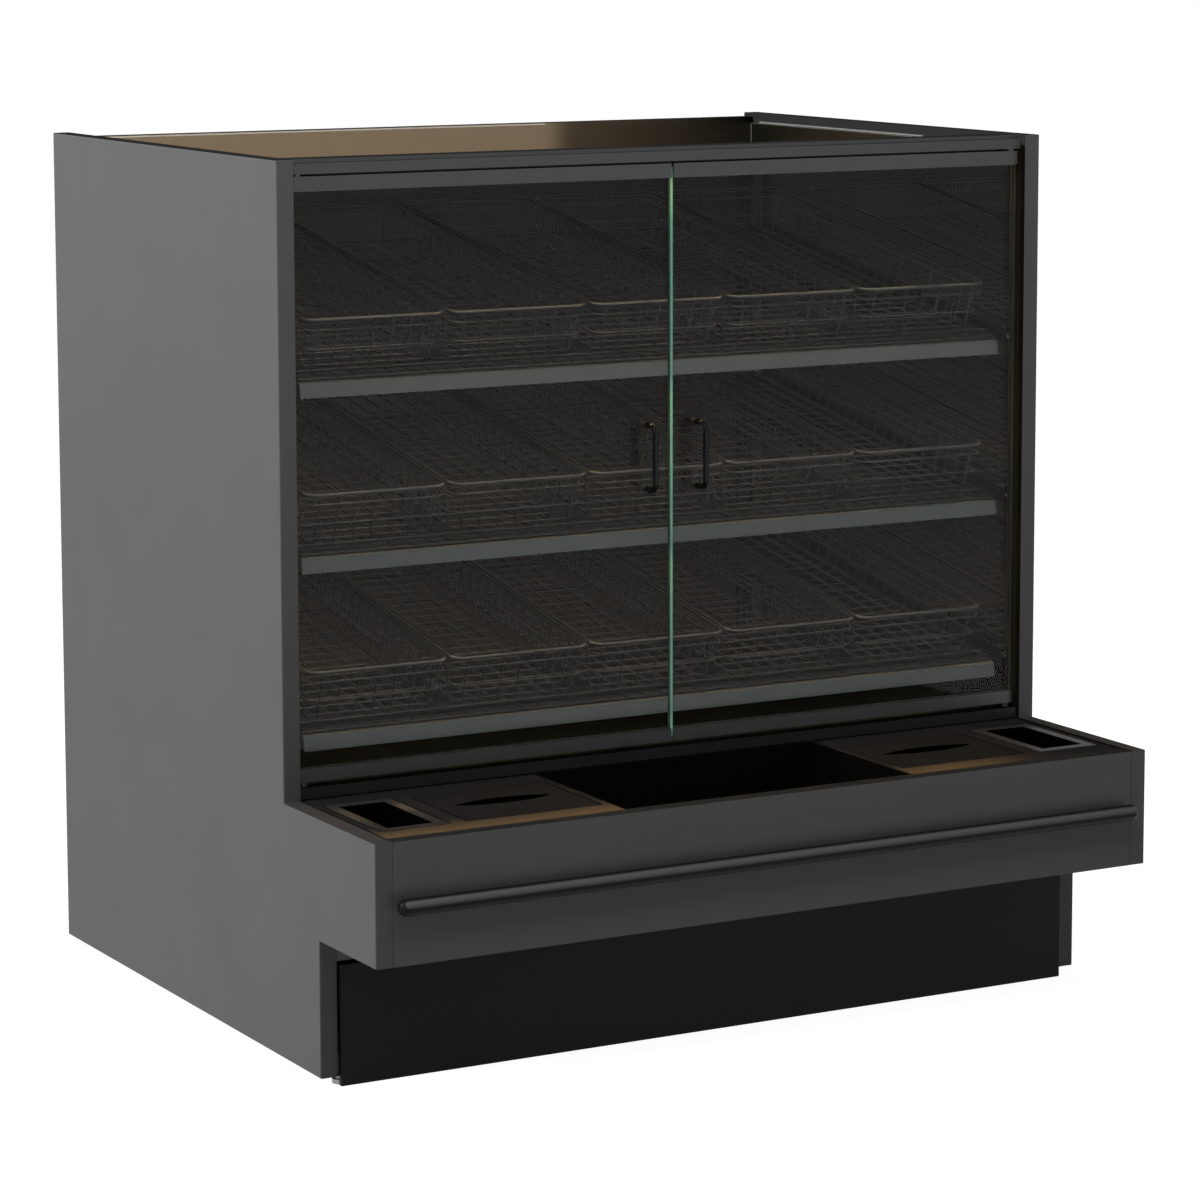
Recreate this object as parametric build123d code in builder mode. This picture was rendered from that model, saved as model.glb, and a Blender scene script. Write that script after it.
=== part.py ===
from build123d import *
import os
from math import cos, radians, sin, sqrt, tan

# Lit display case: two glass doors over a front ledge with bins and a bag well
# X runs to the right, Y to the back, Z up, in millimetres
# The origin is on the floor, under the centre of the case

os.makedirs("parts", exist_ok=True)

# Overall sizes
case_width = 1200
case_height = 1210
upper_depth = 781
ledge_reach = 275
bar_reach = 26
foot_height = 13

# Boards
end_panel_t = 25
end_panel_edge = 1
rear_panel_t = 28
rear_panel_drop = 6
ledge_bottom = 198
deck_top = 361
deck_t = 12
deck_side_gap = 2
deck_back_gap = 1.5
front_panel_t = 22
underside_t = 9
kick_t = 8
kick_setback = 163
kick_side_gap = 2
kick_floor_gap = 1
kick_top = 164
toe_setback = 169
floor_board_t = 18

# Header over the doors and pan that closes the case under the top recess
header_face = 12
header_depth = 50
header_bottom = 1190
header_bar_h = 14
header_lip_h = 5
header_lip_setback = 12
pan_top = 1163
pan_t = 3
pan_ramp = 118
pan_flange_foot = 1189
pan_flange_top = 1205
pan_batten_h = 23
pan_batten_depth = 22

# Sill under the doors
sill_face = 5
sill_depth = 25
sill_top = 377
sill_height = 48

# Frameless doors
door_gap = 4
door_side_gap = 4
door_bottom = 383
door_top = 1187
glass_t = 8
rail_depth = 16
bottom_rail_h = 18
top_rail_h = 20
rail_web = 5
rail_fit = 0.1
pivot_inset = 12
pivot_r = 4
pivot_fit = 0.05
pivot_grip = 4.5
pivot_root = 10
washer_r = 7

# Door pulls
pull_wire_r = 4
pull_centres = 89
pull_reach = 30
pull_bend_r = 8
pull_x = 40
pull_z = 784
screw_r = 2
screw_grip = 12
screw_head_r = 4.5
screw_head_h = 3
glass_hole_r = 3

# Mirrors on the side walls
mirror_t = 4
mirror_top = 1194
mirror_setback = 20

# Sloping shelves, from the top down, by the height of each front strip's top edge
shelf_strip_tops = {"top": 913, "middle": 679, "bottom": 440}
shelf_slope = 10
shelf_front = 40
shelf_width = 1108
rack_depth = 690
rack_t = 4
rack_rim = 6
rack_wire = 3
rack_columns = 20
rack_rows = 5
strip_rise = 2
strip_height = 20
strip_foot = 7
strip_head = 3.2
strip_t = 2
strip_return = 25

# Slotted standards and their brackets
standard_width = 16
standard_depth = 12
standard_wall = 2
standard_x = 552
standard_end_gap = 12
slot_height = 16
slot_pitch = 40
slot_rows = 4
slot_play = 2
bracket_t = 4
bracket_fit = 0.2
bracket_nose = 14
bracket_root = 100
hook_count = 2
hook_height = 12
hook_reach = 6
hook_drop = 30
hook_spacing = 40

# Wire baskets, resting side by side on each rack
basket_count = 5
basket_pitch = 218
basket_width = 216
basket_length = 605
basket_height = 75
basket_draft = 10
basket_front_gap = 19
basket_lift_gap = 0.3
net_t = 3
net_rim = 6
net_wire = 3
net_border = 4
net_end_columns = 8
net_side_columns = 11
net_rows = 3
net_floor_columns = 4
net_reach = 9

# Lamps under the header and each shelf
lamp_width = 22
lamp_height = 12
lamp_wall = 2
lamp_lip = 3
lamp_length = 1092
lamp_shelf_setback = 40
lamp_header_setback = 6
driver_size = (160, 38, 30)
driver_x = 280
driver_z = 200
duct_width = 9
duct_depth = 20
duct_wall = 1.5

# Ledge fittings
well_width = 450
well_wall = 3
bin_x = 512
bin_y = -126
bin_hole_width = 72
bin_hole_length = 150
bin_rim = 13
bin_rim_t = 3
bin_depth = 115
bin_wall = 2
bin_fit = 1
rebate_fit = 1
lid_x = 336.5
lid_y = -130
lid_width = 199
lid_length = 163
lid_t = 3
lid_seat = 12
lid_fit = 1
lid_key_h = 4
lid_key_t = 3
lid_slot_length = 150
lid_slot_width = 34
lid_slot_shift = 9
bumper_r = 11
bumper_z = 278
standoff_r = 5
standoff_collar_r = 8
standoff_grip = 8
standoff_xs = (-480, -160, 160, 480)
seat_gap = 0.3

# Base
tube = 30
tube_wall = 2
foot_inset = 12
foot_r = 12
foot_pad_h = 6
foot_stem_r = 4
foot_stem_grip = 25
foot_nut_r = 8

# Screws through the rear panel
rear_screw_xs = (-500, -250, 0, 250, 500)
rear_screw_r = 2
rear_screw_length = 44
rear_screw_head_r = 4
rear_screw_head_h = 3.5
rear_screw_sink = 4
hole_fit = 0.1

# Power inlet and lamp switch in the rear panel
inlet_x = -480
inlet_z = 90
inlet_hole_r = 24
inlet_plate = 70
inlet_plate_t = 2
gland_r = 12
gland_length = 20
gland_thread_r = 8
gland_nut_h = 6
gland_bore_r = 4.5
switch_x = 480
switch_z = 290
switch_plate = (24, 36)
switch_body = (18.6, 29.6)
switch_plate_t = 2
switch_sink = 4
switch_body_depth = 18
switch_mouth = (14, 25)
switch_cavity = 12
rocker_size = (13, 7, 21)
rocker_pin_r = 1.5
rocker_pin_reach = 8.8
rocker_tilt = 8

# Places that follow from the sizes above
half_width = case_width / 2
inner_x = half_width - end_panel_t
depth = upper_depth + ledge_reach + bar_reach
front_y = bar_reach + ledge_reach - depth / 2
back_y = front_y + upper_depth
ledge_y = front_y - ledge_reach
rear_inner_y = back_y - rear_panel_t
deck_front_y = ledge_y + front_panel_t
deck_back_y = front_y + sill_face
sill_back_y = deck_back_y + sill_depth
kick_face_y = ledge_y + kick_setback
toe_y = ledge_y + toe_setback
kick_back_y = kick_face_y + kick_t
header_y = front_y + header_face
header_back_y = header_y + header_depth
pivot_x = inner_x - pivot_inset
pivot_y = header_y + rail_depth / 2
pivot_hole_r = pivot_r + pivot_fit
door_inner_x = door_gap / 2
door_outer_x = inner_x - door_side_gap
glass_front_y = pivot_y - glass_t / 2
glass_back_y = pivot_y + glass_t / 2
glass_bottom = door_bottom + rail_web
glass_top = door_top - rail_web
mirror_x = inner_x - mirror_t
mirror_y = header_y + mirror_setback
pan_ramp_y = header_back_y + pan_ramp
pan_bottom = pan_top - pan_t
batten_bottom = pan_bottom - pan_batten_h
batten_mid = pan_bottom - pan_batten_h / 2
batten_y = rear_inner_y - pan_batten_depth
standard_y = rear_inner_y - standard_depth
shelf_y = front_y + shelf_front
slope_cos = cos(radians(shelf_slope))
slope_sin = sin(radians(shelf_slope))
slope_tan = tan(radians(shelf_slope))
switch_face_y = back_y - switch_sink
rocker_y = switch_face_y - switch_cavity / 2
foot_x = inner_x - foot_inset
tube_top = sill_top - floor_board_t
frame_front_y = kick_back_y
frame_back_y = rear_inner_y - tube
foot_ys = (frame_front_y + tube / 2, frame_back_y + tube / 2)
sides = (("left", -1), ("right", 1))


def block(x0, x1, y0, y1, z0, z1, mode=Mode.ADD):
    """Rectangular block between three pairs of limits."""
    with BuildSketch(Plane.XY.offset(z0)) as outline:
        with Locations(((x0 + x1) / 2, (y0 + y1) / 2)):
            Rectangle(x1 - x0, y1 - y0)
    extrude(outline.sketch, amount=z1 - z0, mode=mode)


def side_profile(points, x0, x1, mode=Mode.ADD):
    """Prism along X from a closed outline of (y, z) points."""
    with BuildSketch(Plane.YZ.offset(x0)) as outline:
        with BuildLine():
            Polyline(*points, close=True)
        make_face()
    extrude(outline.sketch, amount=x1 - x0, mode=mode)


def upright(x, y, z, radius, height, mode=Mode.ADD):
    """Cylinder along Z that starts at a point."""
    with BuildSketch(Plane.XY.offset(z)) as outline:
        with Locations((x, y)):
            Circle(radius)
    extrude(outline.sketch, amount=height, mode=mode)


def along_y(x, y, z, radius, length, mode=Mode.ADD):
    """Cylinder along Y that starts at a point."""
    with BuildSketch(Plane(origin=(x, y, z), x_dir=(1, 0, 0), z_dir=(0, 1, 0))) as outline:
        Circle(radius)
    extrude(outline.sketch, amount=length, mode=mode)


def save(piece, label):
    """Label a finished piece and write its file."""
    piece.label = label
    export_step(piece, f"parts/{label}.step")


def shelf_plane(strip_top):
    """Plane of a rack's underside, with its Y up the slope to the back."""
    origin = (0, shelf_y, strip_top + strip_rise)
    return Plane(origin=origin, x_dir=(1, 0, 0), z_dir=(0, -slope_sin, slope_cos))


def slope_point(strip_top, along, up):
    """(y, z) of a point given up the slope and square to it."""
    y = shelf_y + along * slope_cos - up * slope_sin
    z = strip_top + strip_rise + along * slope_sin + up * slope_cos
    return (y, z)


# End panels, thick boards cut to the case's stepped side outline
end_outline = (
    (back_y, foot_height),
    (back_y, case_height),
    (front_y, case_height),
    (front_y, deck_top),
    (ledge_y, deck_top),
    (ledge_y, ledge_bottom),
    (toe_y, ledge_bottom),
    (toe_y, foot_height),
)
for name, side in sides:
    with BuildPart() as end_panel:
        x0, x1 = sorted((side * inner_x, side * half_width))
        side_profile(end_outline, x0, x1)
        outer_face = end_panel.faces().filter_by(Axis.X).sort_by(Axis.X)[-1 if side > 0 else 0]
        chamfer(outer_face.edges(), end_panel_edge)
    save(end_panel.part, f"{name}_end_panel")

# Rear panel between the end panels, with its screw holes, cord entry and switch pocket
rear_top = case_height - rear_panel_drop
floor_mid = sill_top - floor_board_t / 2
rear_screw_zs = (batten_mid, floor_mid)
with BuildPart() as rear_panel:
    block(-inner_x, inner_x, rear_inner_y, back_y, foot_height, rear_top)
    for x in rear_screw_xs:
        for z in rear_screw_zs:
            along_y(x, rear_inner_y, z, rear_screw_r + hole_fit, rear_panel_t, Mode.SUBTRACT)
            sink_y = back_y - rear_screw_sink
            along_y(x, sink_y, z, rear_screw_head_r + hole_fit, rear_screw_sink, Mode.SUBTRACT)
    along_y(inlet_x, rear_inner_y, inlet_z, inlet_hole_r, rear_panel_t, Mode.SUBTRACT)
    pocket_x = switch_plate[0] / 2 + hole_fit
    pocket_z = switch_plate[1] / 2 + hole_fit
    pocket_y = switch_face_y - switch_plate_t
    block(switch_x - pocket_x, switch_x + pocket_x, pocket_y, back_y,
          switch_z - pocket_z, switch_z + pocket_z, Mode.SUBTRACT)
    body_x = switch_body[0] / 2 + hole_fit
    body_z = switch_body[1] / 2 + hole_fit
    block(switch_x - body_x, switch_x + body_x, rear_inner_y, pocket_y,
          switch_z - body_z, switch_z + body_z, Mode.SUBTRACT)
save(rear_panel.part, "rear_panel")

# Screws that hold the rear panel to the top pan's batten and the floor board
with BuildPart() as panel_screws:
    for x in rear_screw_xs:
        for z in rear_screw_zs:
            head_y = back_y - rear_screw_sink
            along_y(x, head_y, z, rear_screw_head_r, rear_screw_head_h)
            along_y(x, head_y - rear_screw_length, z, rear_screw_r, rear_screw_length)
save(panel_screws.part, "panel_screws")

# Top pan, the case's ceiling and the bottom of the open top recess: a sheet that ramps up to a
# flange behind the header, with a batten under its rear edge
screw_bite = rear_screw_length - rear_panel_t + rear_screw_sink
with BuildPart() as top_pan:
    side_profile((
        (header_back_y, pan_flange_top),
        (header_back_y + pan_t, pan_flange_top),
        (header_back_y + pan_t, pan_flange_foot),
        (pan_ramp_y, pan_top),
        (rear_inner_y, pan_top),
        (rear_inner_y, batten_bottom),
        (batten_y, batten_bottom),
        (batten_y, pan_bottom),
        (pan_ramp_y, pan_bottom),
        (header_back_y, pan_flange_foot - pan_t),
    ), -mirror_x, mirror_x)
    for x in rear_screw_xs:
        along_y(x, rear_inner_y - screw_bite, batten_mid, rear_screw_r + hole_fit, screw_bite, Mode.SUBTRACT)
save(top_pan.part, "top_pan")

# Header: bar over the doors with a set-back lip on it
header_top = header_bottom + header_bar_h
with BuildPart() as header_rail:
    side_profile((
        (header_y, header_bottom),
        (header_y, header_top),
        (header_y + header_lip_setback, header_top),
        (header_y + header_lip_setback, header_top + header_lip_h),
        (header_back_y, header_top + header_lip_h),
        (header_back_y, header_bottom),
    ), -inner_x, inner_x)
    for name, side in sides:
        upright(side * pivot_x, pivot_y, header_bottom, pivot_hole_r, pivot_root, Mode.SUBTRACT)
save(header_rail.part, "header_rail")

# Sill under the doors
with BuildPart() as door_sill:
    block(-inner_x, inner_x, deck_back_y, sill_back_y, sill_top - sill_height, sill_top)
    for name, side in sides:
        upright(side * pivot_x, pivot_y, sill_top - pivot_root, pivot_hole_r, pivot_root, Mode.SUBTRACT)
save(door_sill.part, "door_sill")

# Display floor board between the sill and the rear panel
with BuildPart() as display_floor:
    block(-inner_x, inner_x, sill_back_y, rear_inner_y, tube_top, sill_top)
    for x in rear_screw_xs:
        along_y(x, rear_inner_y - screw_bite, floor_mid, rear_screw_r + hole_fit, screw_bite, Mode.SUBTRACT)
save(display_floor.part, "display_floor")

# Mirrors on the inner faces of the end panels, notched under the header
mirror_outline = (
    (mirror_y, sill_top),
    (mirror_y, header_bottom),
    (header_back_y, header_bottom),
    (header_back_y, mirror_top),
    (rear_inner_y, mirror_top),
    (rear_inner_y, sill_top),
)
for name, side in sides:
    with BuildPart() as mirror_sheet:
        x0, x1 = sorted((side * mirror_x, side * inner_x))
        side_profile(mirror_outline, x0, x1)
    save(mirror_sheet.part, f"{name}_mirror")


def tube_x(y, z):
    """Square tube across the case with its low front corner at (y, z)."""
    block(-inner_x, inner_x, y, y + tube, z, z + tube)
    block(-inner_x, inner_x, y + tube_wall, y + tube - tube_wall,
          z + tube_wall, z + tube - tube_wall, Mode.SUBTRACT)


def tube_z(y, z0, z1):
    """Upright square tube at the middle of the case."""
    block(-tube / 2, tube / 2, y, y + tube, z0, z1)
    half = tube / 2 - tube_wall
    block(-half, half, y + tube_wall, y + tube - tube_wall, z0, z1, Mode.SUBTRACT)


# Base frame of square tubes behind the kick panel, under the ledge and under the floor board
low_top = foot_height + tube
upper_z = tube_top - tube
frame_pieces = []
for y, z in ((frame_front_y, foot_height), (frame_back_y, foot_height), (frame_front_y, ledge_bottom - tube),
             (sill_back_y, upper_z), (frame_back_y, upper_z)):
    with BuildPart() as cross_tube:
        tube_x(y, z)
        if z == foot_height:
            for name, side in sides:
                upright(side * foot_x, y + tube / 2, z, foot_stem_r + hole_fit, tube_wall, Mode.SUBTRACT)
    frame_pieces.append(cross_tube.part)
for y, top in ((frame_front_y, ledge_bottom - tube), (sill_back_y, upper_z), (frame_back_y, upper_z)):
    with BuildPart() as post_tube:
        tube_z(y, low_top, top)
    frame_pieces.append(post_tube.part)
with BuildPart() as middle_tube:
    block(-tube / 2, tube / 2, frame_front_y + tube, frame_back_y, foot_height, low_top)
    middle_half = tube / 2 - tube_wall
    block(-middle_half, middle_half, frame_front_y + tube, frame_back_y,
          foot_height + tube_wall, low_top - tube_wall, Mode.SUBTRACT)
frame_pieces.append(middle_tube.part)
save(Compound(children=frame_pieces), "base_frame")

# Kick panel on the front of the base frame, set back under the ledge
kick_x = inner_x - kick_side_gap
with BuildPart() as kick_panel:
    block(-kick_x, kick_x, kick_face_y, kick_back_y, kick_floor_gap, kick_top)
save(kick_panel.part, "kick_panel")

# Leveling feet in the ends of the base frame's low tubes: pad, nut and stem turned as one
with BuildPart() as leveling_feet:
    for name, side in sides:
        for y in foot_ys:
            upright(side * foot_x, y, 0, foot_r, foot_pad_h)
            upright(side * foot_x, y, foot_pad_h, foot_nut_r, foot_height - foot_pad_h)
            upright(side * foot_x, y, foot_height, foot_stem_r, foot_stem_grip)
save(leveling_feet.part, "leveling_feet")

# Ledge: front board, underside board and the two deck boards beside the bag well
with BuildPart() as ledge_front_panel:
    block(-inner_x, inner_x, ledge_y, deck_front_y, ledge_bottom, deck_top)
save(ledge_front_panel.part, "ledge_front_panel")

with BuildPart() as ledge_underside:
    block(-inner_x, inner_x, deck_front_y, frame_front_y + tube, ledge_bottom, ledge_bottom + underside_t)
save(ledge_underside.part, "ledge_underside")

bin_y_model = front_y + bin_y
lid_y_model = front_y + lid_y
lid_hole_x = lid_width / 2 - lid_seat
lid_hole_y = lid_length / 2 - lid_seat
bin_rim_x = bin_hole_width / 2 + bin_rim
bin_rim_y = bin_hole_length / 2 + bin_rim


def deck_hole(x, y, half_x, half_y, rim_half_x, rim_half_y, rim_t):
    """Hole through the deck with a rebate round it for a flush rim."""
    block(x - half_x, x + half_x, y - half_y, y + half_y, deck_top - deck_t, deck_top, Mode.SUBTRACT)
    rebate_x = rim_half_x + rebate_fit
    rebate_y = rim_half_y + rebate_fit
    block(x - rebate_x, x + rebate_x, y - rebate_y, y + rebate_y, deck_top - rim_t, deck_top, Mode.SUBTRACT)


with BuildPart() as ledge_deck:
    for name, side in sides:
        x0, x1 = sorted((side * well_width / 2, side * (inner_x - deck_side_gap)))
        block(x0, x1, deck_front_y, deck_back_y - deck_back_gap, deck_top - deck_t, deck_top)
        deck_hole(side * bin_x, bin_y_model, bin_hole_width / 2, bin_hole_length / 2,
                  bin_rim_x, bin_rim_y, bin_rim_t)
        deck_hole(side * lid_x, lid_y_model, lid_hole_x, lid_hole_y,
                  lid_width / 2, lid_length / 2, lid_t)
save(ledge_deck.part, "ledge_deck")

# Bag well, an open tray in the middle of the ledge that stands on the underside board
well_bottom = ledge_bottom + underside_t
with BuildPart() as bag_well:
    block(-well_width / 2, well_width / 2, deck_front_y, deck_back_y, well_bottom, deck_top)
    block(-well_width / 2 + well_wall, well_width / 2 - well_wall,
          deck_front_y + well_wall, deck_back_y - well_wall,
          well_bottom + well_wall, deck_top, Mode.SUBTRACT)
save(bag_well.part, "bag_well")

# Drop-in bins at the ends of the ledge, each hanging from its rim
for name, side in sides:
    with BuildPart() as drop_bin:
        body_half_x = bin_hole_width / 2 - bin_fit
        body_half_y = bin_hole_length / 2 - bin_fit
        block(side * bin_x - bin_rim_x, side * bin_x + bin_rim_x,
              bin_y_model - bin_rim_y, bin_y_model + bin_rim_y, deck_top - bin_rim_t, deck_top)
        block(side * bin_x - body_half_x, side * bin_x + body_half_x,
              bin_y_model - body_half_y, bin_y_model + body_half_y,
              deck_top - bin_depth, deck_top - bin_rim_t)
        block(side * bin_x - body_half_x + bin_wall, side * bin_x + body_half_x - bin_wall,
              bin_y_model - body_half_y + bin_wall, bin_y_model + body_half_y - bin_wall,
              deck_top - bin_depth + bin_wall, deck_top, Mode.SUBTRACT)
    save(drop_bin.part, f"{name}_bin")


def lens(length, width):
    """Face of a pointed slot made of two arcs."""
    with BuildLine() as outline:
        ThreePointArc((-length / 2, 0), (0, width / 2), (length / 2, 0))
        ThreePointArc((length / 2, 0), (0, -width / 2), (-length / 2, 0))
    make_face(outline.edges())


# Slotted lids that sit over the paper boxes in the ledge
for name, side in sides:
    with BuildPart() as slot_lid:
        block(side * lid_x - lid_width / 2, side * lid_x + lid_width / 2,
              lid_y_model - lid_length / 2, lid_y_model + lid_length / 2,
              deck_top - lid_t, deck_top)
        key_x = lid_hole_x - lid_fit
        key_y = lid_hole_y - lid_fit
        key_z = deck_top - lid_t - lid_key_h
        block(side * lid_x - key_x, side * lid_x + key_x,
              lid_y_model - key_y, lid_y_model + key_y, key_z, deck_top - lid_t)
        block(side * lid_x - key_x + lid_key_t, side * lid_x + key_x - lid_key_t,
              lid_y_model - key_y + lid_key_t, lid_y_model + key_y - lid_key_t,
              key_z, deck_top - lid_t, Mode.SUBTRACT)
        with BuildSketch(Plane(origin=(side * lid_x, lid_y_model + lid_slot_shift, key_z))):
            lens(lid_slot_length, lid_slot_width)
        extrude(amount=lid_key_h + lid_t, mode=Mode.SUBTRACT)
    save(slot_lid.part, f"{name}_slot_lid")

# Round bumper bar with domed ends, on stand-offs in the ledge's front board
bumper_y = ledge_y - bar_reach + bumper_r
socket_y = bumper_y + bumper_r - standoff_grip
dome_x = inner_x - bumper_r
dome_mid = bumper_r * cos(radians(45))
bumper_origin = (0, bumper_y, bumper_z)
with BuildPart() as bumper_bar:
    with BuildSketch(Plane(origin=bumper_origin, x_dir=(1, 0, 0), z_dir=(0, -1, 0))):
        with BuildLine():
            Line((-dome_x, bumper_r), (dome_x, bumper_r))
            ThreePointArc((dome_x, bumper_r), (dome_x + dome_mid, dome_mid), (inner_x, 0))
            Line((inner_x, 0), (-inner_x, 0))
            ThreePointArc((-inner_x, 0), (-dome_x - dome_mid, dome_mid), (-dome_x, bumper_r))
        make_face()
    revolve(axis=Axis(bumper_origin, (1, 0, 0)))
    for x in standoff_xs:
        along_y(x, socket_y, bumper_z, standoff_r + pivot_fit, 2 * bumper_r, Mode.SUBTRACT)
save(bumper_bar.part, "bumper_bar")

with BuildPart() as bumper_standoffs:
    for x in standoff_xs:
        along_y(x, socket_y, bumper_z, standoff_r, ledge_y - socket_y)
        collar_y = bumper_y + bumper_r + seat_gap
        along_y(x, collar_y, bumper_z, standoff_collar_r, ledge_y - collar_y)
save(bumper_standoffs.part, "bumper_standoffs")

# Slotted shelf standards on the rear panel, channels open to the back
hook_line_x = bracket_t / 2 + bracket_fit
shelf_rear_z = {key: top + strip_rise + (standard_y - shelf_y) * slope_tan
                for key, top in shelf_strip_tops.items()}
with BuildPart() as shelf_standards:
    for name, side in sides:
        x0 = side * standard_x - standard_width / 2
        x1 = side * standard_x + standard_width / 2
        z0 = sill_top + standard_end_gap
        z1 = batten_bottom - standard_end_gap
        block(x0, x1, standard_y, rear_inner_y, z0, z1)
        block(x0 + standard_wall, x1 - standard_wall, standard_y + standard_wall, rear_inner_y,
              z0, z1, Mode.SUBTRACT)
        for rear_z in shelf_rear_z.values():
            for row in range(slot_rows):
                slot_top = rear_z - hook_drop + slot_play - row * slot_pitch
                block(side * standard_x - hook_line_x, side * standard_x + hook_line_x,
                      standard_y, standard_y + standard_wall, slot_top - slot_height, slot_top,
                      Mode.SUBTRACT)
save(shelf_standards.part, "shelf_standards")

# Shelf brackets, plates that hook into the standards and slope down to the front
with BuildPart() as shelf_brackets:
    for name, side in sides:
        x0 = side * standard_x - bracket_t / 2
        x1 = side * standard_x + bracket_t / 2
        for key, top in shelf_strip_tops.items():
            rear_z = shelf_rear_z[key]
            side_profile((
                slope_point(top, strip_return, 0),
                (standard_y, rear_z),
                (standard_y, rear_z - bracket_root),
                slope_point(top, strip_return, -bracket_nose),
            ), x0, x1)
            for row in range(hook_count):
                hook_top = rear_z - hook_drop - row * hook_spacing
                block(x0, x1, standard_y, standard_y + hook_reach, hook_top - hook_height, hook_top)
save(shelf_brackets.part, "shelf_brackets")

# Wire racks, each a holed sheet on the slope
rack_pitch_x = (shelf_width - 2 * rack_rim + rack_wire) / rack_columns
rack_pitch_y = (rack_depth - 2 * rack_rim + rack_wire) / rack_rows
for key, top in shelf_strip_tops.items():
    with BuildPart() as rack:
        with BuildSketch(shelf_plane(top)):
            with Locations((0, rack_depth / 2)):
                Rectangle(shelf_width, rack_depth)
                with GridLocations(rack_pitch_x, rack_pitch_y, rack_columns, rack_rows):
                    Rectangle(rack_pitch_x - rack_wire, rack_pitch_y - rack_wire, mode=Mode.SUBTRACT)
        extrude(amount=rack_t)
    save(rack.part, f"shelf_rack_{key}")

# Front strips, folded sheet that hooks under each rack's front edge
for key, top in shelf_strip_tops.items():
    with BuildPart() as strip:
        side_profile((
            (shelf_y - strip_foot, top - strip_height),
            (shelf_y - strip_head, top),
            slope_point(top, 0, 0),
            slope_point(top, strip_return, 0),
            slope_point(top, strip_return, -strip_t),
            slope_point(top, strip_t - strip_head, -strip_t),
            (shelf_y - strip_foot + strip_t, top - strip_height),
        ), -shelf_width / 2, shelf_width / 2)
    save(strip.part, f"shelf_strip_{key}")

# Lamps: channels under the header and under each rack, each closed by a diffuser
lamp_half = lamp_width / 2
groove_half = lamp_half - lamp_wall
lamp_planes = [Plane(origin=(0, header_back_y - lamp_header_setback - lamp_half, header_bottom))]
for top in shelf_strip_tops.values():
    frame_plane = shelf_plane(top)
    lamp_origin = frame_plane.from_local_coords((0, lamp_shelf_setback + lamp_half, 0))
    lamp_planes.append(Plane(origin=lamp_origin, x_dir=(1, 0, 0), z_dir=frame_plane.z_dir))
channel_h = lamp_height - lamp_lip
with BuildPart() as light_housings:
    for lamp_plane in lamp_planes:
        with BuildSketch(lamp_plane):
            Rectangle(lamp_length, lamp_width)
        extrude(amount=-channel_h)
        with BuildSketch(lamp_plane.offset(-channel_h)):
            Rectangle(lamp_length - 2 * lamp_wall, 2 * groove_half)
        extrude(amount=channel_h - lamp_wall, mode=Mode.SUBTRACT)
save(light_housings.part, "light_housings")

with BuildPart() as light_diffusers:
    for lamp_plane in lamp_planes:
        with BuildSketch(lamp_plane.offset(-lamp_height)):
            Rectangle(lamp_length, lamp_width)
        extrude(amount=lamp_lip)
save(light_diffusers.part, "light_diffusers")

# Lamp driver in the base and the cable duct in the display's right rear corner
driver_length, driver_depth, driver_height = driver_size
with BuildPart() as light_driver:
    block(driver_x - driver_length / 2, driver_x + driver_length / 2,
          rear_inner_y - driver_depth, rear_inner_y, driver_z, driver_z + driver_height)
save(light_driver.part, "light_driver")

duct_x = mirror_x - duct_width
duct_y = rear_inner_y - duct_depth
with BuildPart() as wiring_duct:
    block(duct_x, mirror_x, duct_y, rear_inner_y, sill_top, batten_bottom)
    block(duct_x + duct_wall, mirror_x - duct_wall, duct_y + duct_wall, rear_inner_y - duct_wall,
          sill_top, batten_bottom, Mode.SUBTRACT)
save(wiring_duct.part, "wiring_duct")

# Power inlet: a steel plate inside the rear panel and a cord gland with its nut
plate_y = rear_inner_y - inlet_plate_t
with BuildPart() as inlet_sheet:
    block(inlet_x - inlet_plate / 2, inlet_x + inlet_plate / 2, plate_y, rear_inner_y,
          inlet_z - inlet_plate / 2, inlet_z + inlet_plate / 2)
    along_y(inlet_x, plate_y, inlet_z, gland_thread_r + hole_fit, inlet_plate_t, Mode.SUBTRACT)
thread_length = inlet_plate_t + gland_nut_h
with BuildPart() as gland:
    along_y(inlet_x, rear_inner_y, inlet_z, gland_r, gland_length)
    along_y(inlet_x, rear_inner_y - thread_length, inlet_z, gland_thread_r, thread_length)
    along_y(inlet_x, rear_inner_y - thread_length, inlet_z, gland_bore_r,
            thread_length + gland_length, Mode.SUBTRACT)
with BuildPart() as gland_nut:
    along_y(inlet_x, plate_y - gland_nut_h, inlet_z, gland_r, gland_nut_h)
    along_y(inlet_x, plate_y - gland_nut_h, inlet_z, gland_thread_r + hole_fit, gland_nut_h, Mode.SUBTRACT)
save(Compound(children=[inlet_sheet.part, gland.part, gland_nut.part]), "power_inlet")

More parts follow.
